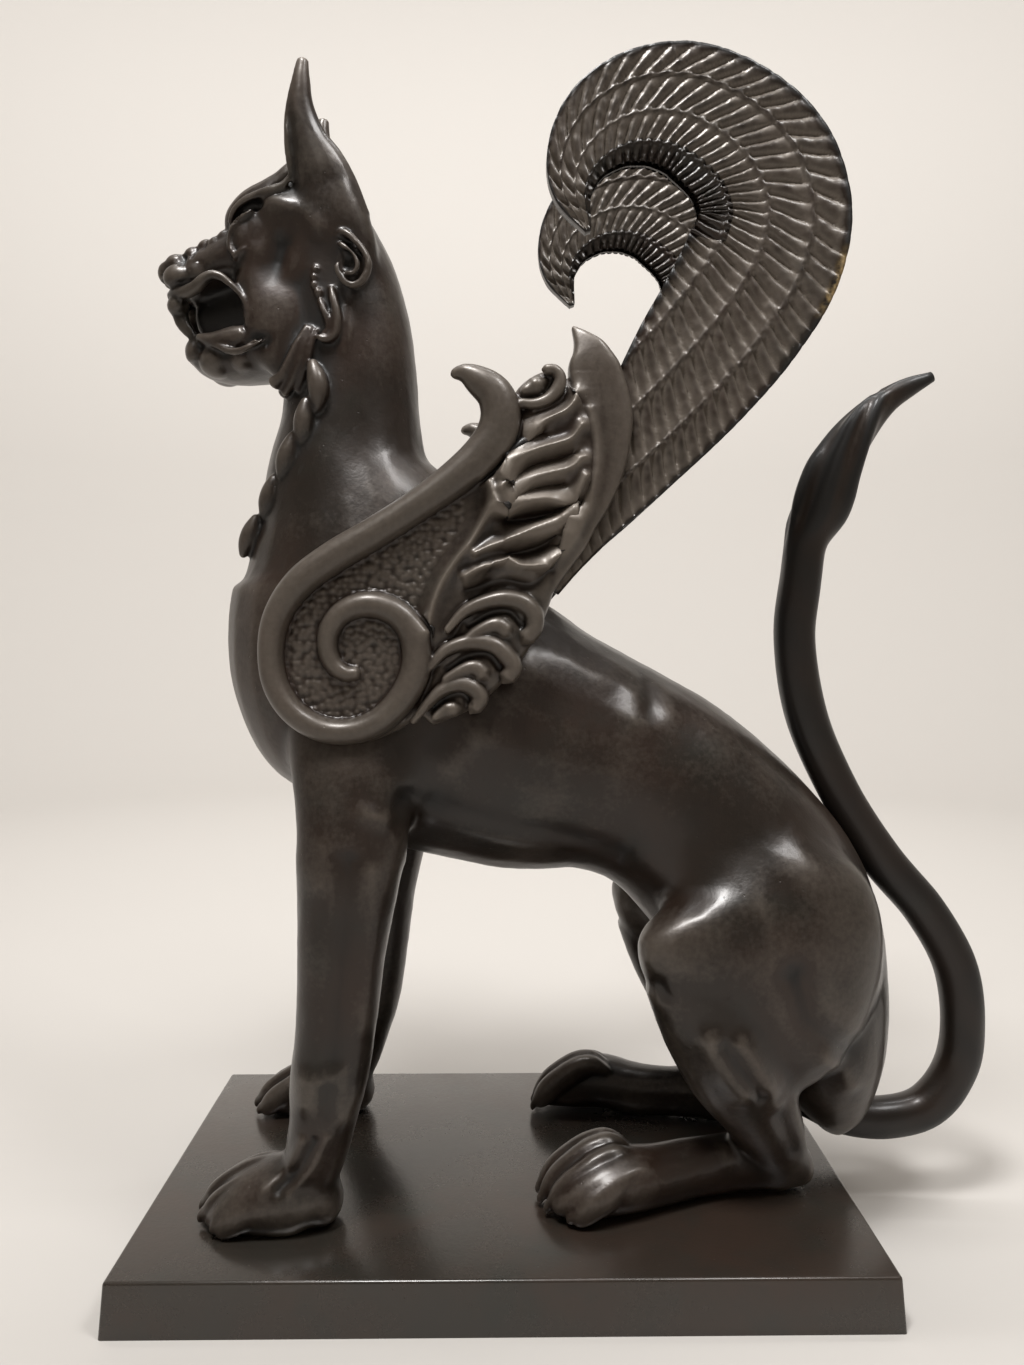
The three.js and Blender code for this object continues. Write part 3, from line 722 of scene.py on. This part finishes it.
def makeWing(side):
    piece = newPiece("griffinWingNear" if side < 0 else "griffinWingFar", wingBlank())
    mesh = piece.data
    grid = read(mesh)
    u, v, face = grid[:, 0] + 0.5, 0.5 - grid[:, 1], 2 * grid[:, 2] - 1
    samples = wing["samples"]
    spine = smoothRows([(x, 0, z, half) for x, z, half in wing["line"]], samples)
    tangent = unit(np.gradient(spine[:, :3], axis=0))
    length = np.linalg.norm(np.diff(spine[:, :3], axis=0), axis=1).sum()
    at = v * (samples - 1)

    def onSpine(column):
        return np.interp(at, np.arange(samples), column)

    x, z, half = onSpine(spine[:, 0]), onSpine(spine[:, 2]), onSpine(spine[:, 3])
    alongX, alongZ = onSpine(tangent[:, 0]), onSpine(tangent[:, 2])
    turn = np.hypot(alongX, alongZ)
    outX, outZ = -alongZ / turn, alongX / turn
    # bands of feathers, which narrow together towards the tip
    widest = int(np.argmax(spine[:, 3]))
    scale = np.where(at < widest, half / spine[widest, 3], 1)
    inwards = (1 - u) * 2 * half
    edges = np.array(wing["bands"], float)
    fromEdge = inwards / np.maximum(scale, 0.02)
    band = np.clip(np.searchsorted(edges, fromEdge, side="right") - 1, 0, len(edges) - 2)
    bandWidth = edges[band + 1] - edges[band]
    rise = 1 - (fromEdge - edges[band]) / bandWidth
    slant = np.interp(v, *zip(*wing["slant"])) * bandWidth / 28 * scale
    run = (v * length - slant * rise**0.85) / wing["pitch"] + 0.37 * band
    feather = barbs(run, rise, band)
    quill = 1.05 * np.exp(-(((1 - rise) / 0.10) ** 2)) + 1.0 * np.exp(-((rise / 0.05) ** 2))
    height = np.maximum(feather, quill * (band + rise > 0.9)) * np.clip(half / 12, 0.3, 1)
    # thickness, rounded off at the rim
    onFace = np.abs(face) > 0.9
    rim = np.clip(1 - np.minimum(inwards, 2 * half - inwards) / 3.0, 0, 1) ** 2
    rounding = wing["rimRounding"]
    thick = wing["halfThickness"] - wing["relief"] * (1.6 * (1 - height)) * (1 - 0.6 * rim) - rounding * rim
    thick = np.where(onFace, thick, wing["halfThickness"] - wing["relief"] - rounding)
    scallop = np.where(u > 0.97, 0.9 * (feather - 0.8), 0) * np.clip(half / 30, 0, 1)
    reach = (2 * u - 1) * half + scallop
    places = np.column_stack([x + outX * reach, side * wing["plane"] + face * thick, z + outZ * reach])
    places[:, 1] += np.where(onFace, np.sign(face) * uneven(places, wing["waves"]), 0)
    write(mesh, places)
    weld(mesh)
    markWearShadeAndSheen(mesh, **wing["wear"])
    markBrassy(mesh, spine, tangent, side)
    report(piece.name)
    return seated(piece)


shoulder = {
    # how square each bed's section is
    "beds": {"ground": 7.0, "lobeBed": 3.4, "leafBed": 4.5, "curlBed": 3.0},
    "softening": 5,
    # Lifts the whole scroll and leaf towards the lighter colour: a painted sheen of light from above,
    # besides real rubbing of high spots
    "wear": {"reach": 1.5, "rounds": 12, "rubbed": 0.6, "bias": 0.22},
    "ground": [
        (-104, 70, 329, 14, 22), (-104, 70, 342, 40, 22), (-104, 70, 362, 51, 22), (-104, 70, 388, 52, 22),
        (-84, 70, 408, 49, 22), (-62, 71, 432, 43, 21), (-36, 71, 460, 35, 21), (-10, 72, 492, 26, 20),
        (12, 72, 524, 19, 18), (28, 73, 556, 14, 14), (36, 73, 576, 8, 8),
    ],
    "lobeBed": [
        (-54, 75, 348, 10, 13), (-34, 76, 368, 21, 15), (-9, 76, 400, 26, 16), (10, 76, 436, 25, 16),
        (28, 75, 464, 14, 14),
    ],
    "leafBed": [
        (-47, 75, 416, 8, 14), (-18, 76, 452, 27, 15), (11, 76, 490, 39, 15.5), (31, 76, 526, 35, 15.5),
        (40, 75, 556, 19, 15), (40, 74, 574, 8, 8),
    ],
    "curlBed": [(8, 75, 553, 7, 13), (17, 75, 562, 10, 14), (28, 75, 570, 10, 14), (35, 75, 577, 6, 12)],
    "rail": [
        (-34, 91, 575, 3, 4), (-27, 91, 576, 6, 7), (-17, 91, 571, 10, 10), (-6, 91, 562, 12.5, 12),
        (-2, 91, 549, 13.5, 13), (-5, 91, 536, 13.5, 13), (-15, 91, 522, 13, 13), (-34, 91, 505, 12, 13),
        (-57, 91, 488.5, 11, 13), (-86, 91, 470, 11, 13), (-115, 91, 453, 11, 13),
        (-137, 91, 436, 10.5, 13), (-151.5, 91, 413.7, 9.5, 13), (-155.5, 91, 390.3, 9, 13),
        (-152, 91, 368.2, 9, 13),
        (-140.5, 91, 350.5, 9, 13), (-123.3, 91, 339.8, 9, 12.5), (-104.2, 91, 337.6, 9, 12.5),
        (-83.6, 91, 344.6, 9.2, 12.5), (-67.5, 91, 360.8, 9.7, 12), (-58.8, 91, 380, 10, 12),
        (-59.5, 91, 399.1, 10, 11.5), (-67.4, 91, 413.2, 9.6, 11), (-80.2, 91, 421, 9.2, 10.5),
        (-94.6, 91, 422.2, 8.8, 10.5), (-108.8, 91, 416, 8, 10), (-116.4, 91, 404.6, 7.4, 10),
        (-117.2, 91, 390.8, 7, 9.5), (-112.4, 91, 381, 6.4, 9), (-104.4, 91, 376.2, 5.6, 8.5),
        (-97.5, 91, 377, 4.8, 7.5),
    ],
    "crescent": [
        (46.5, 77, 610, 0.8, 4), (52.5, 78, 602, 6, 8), (57, 78, 594, 12, 11), (60, 78, 583, 17, 12.5),
        (65, 78, 568, 18, 12.5), (69, 78, 551, 18, 12.5), (70, 78, 540, 17, 12.5),
        (70.5, 78, 525, 14, 12.5), (68, 78, 508, 11.5, 12.5), (62, 78, 489, 8.5, 12.5),
        (56, 78, 478, 7.5, 12.5), (49, 78, 463, 6.5, 12), (38, 77, 446, 5, 12), (29, 76, 430, 3.5, 10),
    ],
}
# Sharp crests of the leaf's tongues and stem: path, radius, height
leafCrests = [
    ([(-2, 508), (3, 519), (12, 531.5), (22.5, 541), (32, 545.5), (41, 549.5), (47, 556), (49, 563)],
     5, 8.5),
    ([(-2, 499), (4, 512), (13, 520.5), (23.6, 525), (35.2, 528.5), (45.3, 532.5), (51.5, 541)], 4.6, 8.5),
    ([(-4, 490), (8, 499), (20.7, 506.5), (32.3, 509.5), (43.9, 512.5), (53, 520)], 4.6, 8.5),
    ([(-4, 484), (11, 490), (26.5, 493), (38, 493.5), (47, 497), (53, 508)], 4.2, 9),
    ([(-19, 456), (-2.5, 464), (12.1, 468.5), (28, 473.5), (41, 479), (51, 487)], 4.4, 9),
    ([(-26, 441), (-12, 448.5), (0.4, 450.5), (12.1, 447), (23.7, 448.5), (35.3, 456), (43.5, 464),
      (49, 478)], 4, 8.5),
    ([(-10, 503), (-8, 497), (-7, 490), (-11.5, 481), (-21.8, 464), (-33.2, 449.5), (-42, 435), (-48, 419),
      (-50.5, 404)], 4.6, 8),
    ([(58, 552), (62.5, 530), (62, 508), (56, 488), (49, 468)], 5, 3.5),
]
# Rolls of the lobes and their buds: half widths at the root, the middle and the tip,
# the crest's height, then x, z
leafRolls = [
    (2.4, 7.2, 5.8, 97.5, [(-38, 405), (-26, 418), (-12, 424.5), (2, 426.5), (14, 423), (20, 416),
                           (20, 407), (15, 400)]),
    (2.0, 7.4, 6.4, 96.5, [(-26, 399), (-13, 406.5), (-4, 408.5), (3, 404)]),
    (2.4, 7.2, 5.8, 97.5, [(-51, 379), (-38, 392.5), (-21, 397.5), (-7, 395), (2, 388), (6, 380),
                           (2, 373.5)]),
    (2.0, 7.2, 6.2, 96.5, [(-40, 372), (-28, 378.5), (-19, 380), (-13, 375)]),
    (2.2, 6.6, 5.4, 97, [(-61, 344), (-50, 357), (-40, 365.5), (-28.5, 369), (-20, 366), (-16, 359.5),
                         (-20, 353)]),
    (2.0, 6.2, 5.6, 95.5, [(-47, 346), (-39, 351.5), (-32, 353)]),
    (3.0, 4.6, 3.2, 96.5, [(11, 556), (20.5, 555.5), (29, 558.5), (35.5, 565), (37.5, 573), (33.5, 578),
                           (27.5, 578)]),
    (2.4, 6.2, 5.0, 95.5, [(13, 564), (20, 567.5), (25, 570)]),
]
leafHollows = [
    ([(2, 479.5), (14, 480), (30, 483), (48, 490)], 5.5, -7),
    ([(4, 456), (12, 457.5), (24, 461), (36, 468)], 4.5, -5),
    ([(4, 503), (18, 514.5), (32, 518.5), (46, 522.5)], 3.5, -3),
    ([(-2, 489), (14, 498.5), (24, 501), (40, 503)], 3, -3),
    ([(2, 518), (14, 532), (26, 537)], 3.2, -3),
    ([(-24, 432), (0, 438), (20, 436), (30, 446)], 4, -3),
    ([(-24, 409), (-8, 417), (4, 417), (12, 409)], 2.2, -2.4),
    ([(-38, 380), (-24, 388), (-10, 388), (-3, 380)], 2.2, -2.4),
    ([(-48, 353), (-38, 360.5), (-28, 362), (-23, 356)], 2.0, -2),
]


def makeShoulder(side):
    bm = bmesh.new()
    for name, square in shoulder["beds"].items():
        loft(bm, onSide(side, shoulder[name]), 28, square, 0.2)
    loft(bm, onSide(side, shoulder["crescent"]), 36, 5.0, 0.0, 2.5)
    loft(bm, onSide(side, shoulder["rail"]), 24, 2.1, 0.6, 2.2)
    for root, middle, tip, crest, line in leafRolls:
        girth = np.interp(np.linspace(0, 1, len(line)), (0, 0.5, 1), (root, middle, tip))
        rows = [(x, crest - 1.3 * r, z, 1.05 * r, 1.3 * r) for (x, z), r in zip(line, girth)]
        loft(bm, onSide(side, rows), 18, 2.0, 1.0, 2)
    piece = newPiece("griffinShoulderNear" if side < 0 else "griffinShoulderFar", bm)
    settle(piece, [voxels(casting["shoulderVoxel"]), softened(shoulder["softening"])])
    press(piece.data, leafHollows)
    press(piece.data, leafCrests, 1.15)
    stipple(piece.data)
    thinned(piece)
    markWearShadeAndSheen(piece.data, **shoulder["wear"])
    report(piece.name)
    return seated(piece)


# Punched grain on the ground inside the scroll, one punch mark to a cell
grain = {
    "cell": 4.3,
    "cells": (70, 90),
    "corner": (-190, 300),
    "seed": 21,
    "depth": 2.1,
    "levels": (82, 94.0),  # on ground this far out
    "stem": [(388, -60), (414, -60), (431, -55), (447, -48), (462, -37), (480, -26), (506, -26)],  # z, x
}


def stipple(mesh):
    places, normals = read(mesh), read(mesh, "normal")
    rng = np.random.default_rng(grain["seed"])
    spots = rng.uniform(0.1, 0.9, (*grain["cells"], 2))
    flat = (places[:, [0, 2]] - np.array(grain["corner"])) / grain["cell"]
    cell = np.floor(flat).astype(int)
    last = np.array(grain["cells"]) - 1
    nearest = np.full(len(places), 9.0)
    for i in (-1, 0, 1):
        for j in (-1, 0, 1):
            ask = np.clip(cell + (i, j), 0, last)
            gap = np.linalg.norm(flat - ask - spots[ask[:, 0], ask[:, 1]], axis=1)
            nearest = np.minimum(nearest, gap)
    facing = normals[:, 1] * np.sign(places[:, 1])
    out = np.abs(places[:, 1])
    low, high = grain["levels"]
    stem = np.interp(places[:, 2], *zip(*grain["stem"]))
    on = (facing > 0.75) & (out > low) & (out < high) & (places[:, 0] < stem)
    write(mesh, places + normals * np.where(on, grain["depth"] * (0.55 - nearest), 0)[:, None])


# In metres
plinthPlate = {
    "length": 0.500, "width": 0.310, "height": 0.035, "flare": 0.0025, "arris": 0.002,
}


def makePlinth():
    p = plinthPlate
    bm = bmesh.new()
    bmesh.ops.create_cube(bm, size=1)
    for vert in bm.verts:
        out = p["flare"] if vert.co.z < 0 else 0
        vert.co.x = math.copysign(p["length"] / 2 + out, vert.co.x)
        vert.co.y = math.copysign(p["width"] / 2 + out, vert.co.y)
        vert.co.z = 0 if vert.co.z < 0 else p["height"]
    edges = [edge for edge in bm.edges if max(v.co.z for v in edge.verts) > 0.01]
    bmesh.ops.bevel(bm, geom=edges, offset=p["arris"], offset_type="OFFSET", affect="EDGES", segments=3,
                    profile=0.5, material=-1)
    piece = newPiece("plinthPlate", bm)
    piece.data.shade_smooth()
    piece.data.set_sharp_from_angle(angle=math.radians(40))
    return piece


# A socket that sums are written with
class Signal:
    def __init__(self, finish, socket):
        self.finish = finish
        self.socket = socket

    def maths(self, operation, first, second):
        return self.finish.node("ShaderNodeMath", {"operation": operation}, {0: first, 1: second})

    def __add__(self, other):
        return self.maths("ADD", self, other)

    def __sub__(self, other):
        return self.maths("SUBTRACT", self, other)

    def __rsub__(self, other):
        return self.maths("SUBTRACT", other, self)

    def __mul__(self, other):
        return self.maths("MULTIPLY", self, other)

    __radd__ = __add__
    __rmul__ = __mul__


class Finish:
    def __init__(self, name):
        self.material = bpy.data.materials.new(name)
        self.material.use_nodes = True
        self.tree = self.material.node_tree
        self.shader = self.tree.nodes["Principled BSDF"]

    def node(self, kind, settings=None, inputs=None, output=0):
        made = self.tree.nodes.new(kind)
        for key, value in (settings or {}).items():
            if key == "stops":
                for spare in list(made.color_ramp.elements)[2:]:
                    made.color_ramp.elements.remove(spare)
                while len(made.color_ramp.elements) < len(value):
                    made.color_ramp.elements.new(1)
                for element, (position, colour) in zip(made.color_ramp.elements, value):
                    element.position = position
                    element.color = (*colour, 1)
            else:
                setattr(made, key, value)
        for key, value in (inputs or {}).items():
            self.feed(made.inputs[key], value)
        return Signal(self, made.outputs[output])

    def feed(self, socket, value):
        if isinstance(value, Signal):
            self.tree.links.new(value.socket, socket)
        else:
            socket.default_value = value

    def set(self, **values):
        for key, value in values.items():
            self.feed(self.shader.inputs[key.replace("_", " ")], value)

    def noise(self, scale, detail):
        inputs = {"Vector": self.place, "Scale": scale, "Detail": detail, "Roughness": 0.55}
        return self.node("ShaderNodeTexNoise", {}, inputs)

    def mix(self, factor, first, second):
        inputs = {0: factor, 6: first, 7: second}
        return self.node("ShaderNodeMix", {"data_type": "RGBA"}, inputs, output=2)

    # 0 at the first limit and 1 at the second
    def limits(self, value, low, high):
        inputs = {"Value": value, "From Min": low, "From Max": high}
        return self.node("ShaderNodeMapRange", {"clamp": True}, inputs)


patina = {
    # The darkest colour is patina in hollows, and painted shade inside the mouth
    "hollow": (0.0055, 0.0045, 0.0038, 1),
    "skin": (0.015, 0.0108, 0.0078, 1),
    "warm": (0.024, 0.0130, 0.0080, 1),
    "green": (0.015, 0.0155, 0.0120, 1),
    # The lighter colour is patina rubbed off high spots, and a painted sheen where a whole piece is lifted
    # towards it
    "rubbed": (0.150, 0.126, 0.103, 1),
    "brassy": (0.36, 0.25, 0.11, 1),
    "metallic": 0.30,
    "roughness": 0.30,
    "coat": 0.20,
    "coatRoughness": 0.18,
}


def makeBronze(name, wears=True, look=patina):
    finish = Finish(name)
    finish.place = finish.node("ShaderNodeTexCoord", output="Object")
    broad = finish.limits(finish.noise(9, 4), 0.38, 0.66)
    patches = finish.limits(finish.noise(22, 5), 0.52, 0.72)
    speck = finish.noise(260, 3)
    colour = finish.mix(broad, look["skin"], look["warm"])
    colour = finish.mix(patches * 0.55, colour, look["green"])
    wear = finish.node("ShaderNodeAttribute", {"attribute_name": "wear"}, output="Fac") if wears else None
    roughness = look["roughness"] + 0.10 * broad + 0.10 * (speck - 0.5)
    if wears:
        # Darkest in hollows as patina; inside the mouth this is painted shade
        colour = finish.mix(finish.limits(wear, 0.5, 0.12), colour, look["hollow"])
        # Lighter on raised spots as wear; on the wings and shoulders it is also a painted sheen
        rubbed = finish.limits(wear + 0.16 * (speck - 0.5), 0.55, 1.0)
        colour = finish.mix(rubbed, colour, look["rubbed"])
        brassy = finish.node("ShaderNodeAttribute", {"attribute_name": "brassy"}, output="Fac")
        colour = finish.mix(brassy * finish.limits(finish.noise(160, 4), 0.35, 0.6), colour, look["brassy"])
        roughness = roughness + 0.16 * finish.limits(wear, 0.5, 0.15) + 0.12 * rubbed
    pits = finish.node("ShaderNodeTexVoronoi", {"feature": "F1"}, {"Vector": finish.place, "Scale": 95.0})
    pinholes = finish.limits(pits, 0.035, 0.075)
    tooled = 0.5 * finish.noise(420, 2) + 0.5 * finish.noise(120, 3) + 0.9 * pinholes
    bump = finish.node("ShaderNodeBump", {}, {"Strength": 0.35, "Distance": 0.0005, "Height": tooled})
    finish.set(Base_Color=colour, Metallic=look["metallic"], Roughness=roughness,
               Coat_Weight=look["coat"], Coat_Roughness=look["coatRoughness"], Normal=bump)
    return finish.material


plinthLook = dict(patina, skin=(0.030, 0.026, 0.021, 1), warm=(0.040, 0.026, 0.019, 1),
                  green=(0.022, 0.025, 0.021, 1), roughness=0.24, coat=0.5)


studio = {
    "wall": (0.52, 0.495, 0.465, 1),
    "floorRadius": 2.3,
    "wallRadius": 3.4,
    "wallHeight": 3.6,
    "sky": (1.0, 0.88, 0.76, 1),
    "skyStrength": 0.31,
    # name, place, aim, width, height, power
    "lamps": [
        ("key", (-0.35, -0.75, 2.3), (0, 0, 0.45), 0.5, 0.5, 46),
        ("side", (0.9, -0.7, 2.2), (0.05, 0, 0.4), 0.5, 0.5, 18),
        ("wall", (0, 0.6, 2.9), (0, 3.4, 1.5), 2.4, 0.6, 112),
    ],
}


def makeStudio():
    bm = bmesh.new()
    near, far, height = studio["floorRadius"], studio["wallRadius"], studio["wallHeight"]
    bend = far - near
    profile = [(0, 0), (near * 0.5, 0), (near, 0)]
    for angle in np.radians(np.arange(10, 91, 10)):
        profile.append((near + bend * math.sin(angle), bend * (1 - math.cos(angle))))
    profile.append((far, height))
    line = [bm.verts.new((x, 0, z)) for x, z in profile]
    edges = [bm.edges.new(pair) for pair in zip(line[:-1], line[1:])]
    bmesh.ops.spin(bm, geom=line + edges, cent=(0, 0, 0), axis=(0, 0, 1), angle=2 * math.pi, steps=96,
                   use_merge=True)
    bmesh.ops.remove_doubles(bm, verts=bm.verts, dist=0.0001)
    floor = newPiece("studioFloor", bm)
    floor.data.shade_smooth()
    paint = Finish("paleFloor")
    paint.set(Base_Color=studio["wall"], Roughness=0.9)
    floor.data.materials.append(paint.material)
    world = bpy.data.worlds.new("studioLight")
    world.use_nodes = True
    background = world.node_tree.nodes["Background"]
    background.inputs["Color"].default_value = studio["sky"]
    background.inputs["Strength"].default_value = studio["skyStrength"]
    bpy.context.scene.world = world
    for name, place, aim, width, tall, power in studio["lamps"]:
        lamp = bpy.data.lights.new(name, "AREA")
        lamp.shape = "RECTANGLE"
        lamp.size, lamp.size_y, lamp.energy = width, tall, power
        holder = bpy.data.objects.new(name, lamp)
        holder.location = place
        holder.rotation_euler = (Vector(aim) - Vector(place)).to_track_quat("-Z", "Y").to_euler()
        holder.visible_camera = False
        bpy.context.scene.collection.objects.link(holder)


view = {
    "place": (-0.0026, -0.7792, 0.432), "pitch": -2.2, "turn": -0.68, "lens": 27.03, "sensorHeight": 36,
}


def makeCamera():
    lens = bpy.data.cameras.new("camera")
    lens.sensor_fit = "VERTICAL"
    lens.sensor_height = view["sensorHeight"]
    lens.lens = view["lens"]
    lens.clip_start = 0.02
    camera = bpy.data.objects.new("camera", lens)
    camera.location = view["place"]
    camera.rotation_euler = (math.radians(90 + view["pitch"]), 0, math.radians(view["turn"]))
    bpy.context.scene.collection.objects.link(camera)
    bpy.context.scene.camera = camera
    bpy.context.scene.view_settings.view_transform = "Standard"


makeCamera()
makeStudio()
bronze = makeBronze("griffinBronze")
plinthMaterial = makeBronze("plinthBronze", False, plinthLook)
pieces = [makeBody(), makeTail()]
for side in sides:
    pieces += [makeWing(side), makeShoulder(side)]
for piece in pieces:
    piece.data.materials.clear()
    piece.data.materials.append(bronze)
    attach(piece, "root")
    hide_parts("griffin")
plate = makePlinth()
plate.data.materials.append(plinthMaterial)
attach(plate, "root")
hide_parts("plinth")
report("pieces")
